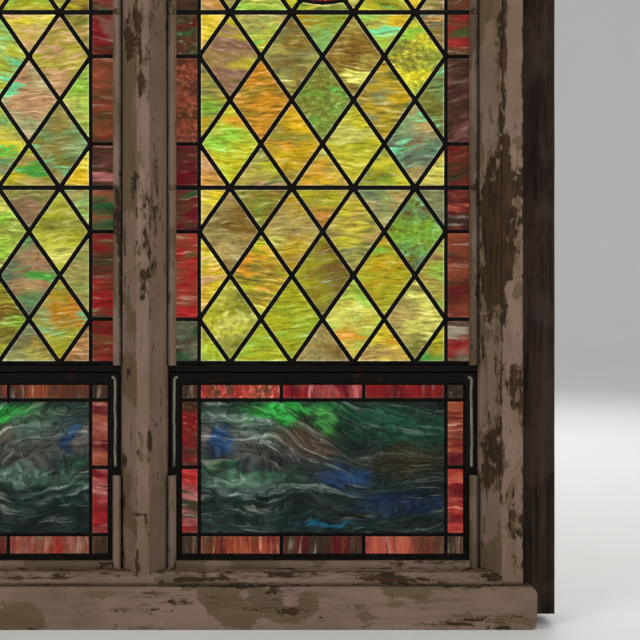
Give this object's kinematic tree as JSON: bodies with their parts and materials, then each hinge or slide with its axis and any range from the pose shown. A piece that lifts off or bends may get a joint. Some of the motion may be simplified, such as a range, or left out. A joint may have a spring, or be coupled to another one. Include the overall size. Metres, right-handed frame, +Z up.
{
  "type": "stained glass window",
  "caption": "Two-light leaded stained glass window in a bevelled, peeling painted timber frame, with a diamond lattice, round medallions and a centre-pivot steel vent below each light.",
  "frame": {"origin": "middle of the footprint on the underside of the sill, below the mullion", "axes": "+Z up, -Y towards the room side that the picture shows, +X to that viewer's right"},
  "size_m": [1.4224, 0.138, 1.4954],
  "materials": {
    "painted_timber": "old taupe oil paint over an olive coat, flaking to bare dark wood",
    "raw_timber": "unpainted dark brown rough timber",
    "lead": "dull blackened lead came with soldered joints",
    "dark_steel": "black painted steel, worn and slightly rusty",
    "field_glass": "streaky amber, olive and green opalescent glass",
    "border_glass": "streaky ruby, salmon and green opalescent glass",
    "vent_glass": "dark blue-green opalescent glass with pale wavy streaks"
  },
  "bodies": {
    "frame": {"sill": "painted_timber", "sill_nosing": "painted_timber", "sill_strip": "painted_timber", "mullion": "painted_timber", "jamb_left": "painted_timber", "jamb_right": "painted_timber", "head": "painted_timber", "casing_left": "painted_timber", "casing_right": "painted_timber", "casing_top": "painted_timber", "buck_left": "raw_timber", "buck_right": "raw_timber", "left_saddle_bar_lower": "dark_steel", "left_saddle_bar_upper": "dark_steel", "left_stop_left": "painted_timber", "left_stop_right": "painted_timber", "left_stop_top": "painted_timber", "left_vent_stop_left": "painted_timber", "left_vent_stop_right": "painted_timber", "left_vent_stop_bottom": "painted_timber", "left_vent_side_stop_left": "dark_steel", "left_vent_side_stop_right": "dark_steel", "left_transom_bar": "dark_steel", "left_lead_lower": "lead", "left_lead_middle": "lead", "left_lead_upper": "lead", "left_glass_lower": "field_glass", "left_glass_middle": "field_glass", "left_glass_upper": "field_glass", "right_saddle_bar_lower": "dark_steel", "right_saddle_bar_upper": "dark_steel", "right_stop_left": "painted_timber", "right_stop_right": "painted_timber", "right_stop_top": "painted_timber", "right_vent_stop_left": "painted_timber", "right_vent_stop_right": "painted_timber", "right_vent_stop_bottom": "painted_timber", "right_vent_side_stop_left": "dark_steel", "right_vent_side_stop_right": "dark_steel", "right_transom_bar": "dark_steel", "right_lead_lower": "lead", "right_lead_middle": "lead", "right_lead_upper": "lead", "right_glass_lower": "field_glass", "right_glass_middle": "field_glass", "right_glass_upper": "field_glass"},
    "left_vent": {"left_vent_frame": "dark_steel", "left_vent_lead": "lead", "left_vent_glass": "vent_glass"},
    "right_vent": {"right_vent_frame": "dark_steel", "right_vent_lead": "lead", "right_vent_glass": "vent_glass"}
  },
  "joints": [
    {"name": "left_vent_pivot", "type": "hinge", "parent": "frame", "child": "left_vent", "pos_m": [-0.3106, -0.005, 0.266], "axis": [1, 0, 0], "range_deg": [0, 45]},
    {"name": "right_vent_pivot", "type": "hinge", "parent": "frame", "child": "right_vent", "pos_m": [0.3106, -0.005, 0.266], "axis": [1, 0, 0], "range_deg": [0, 45]}
  ]
}
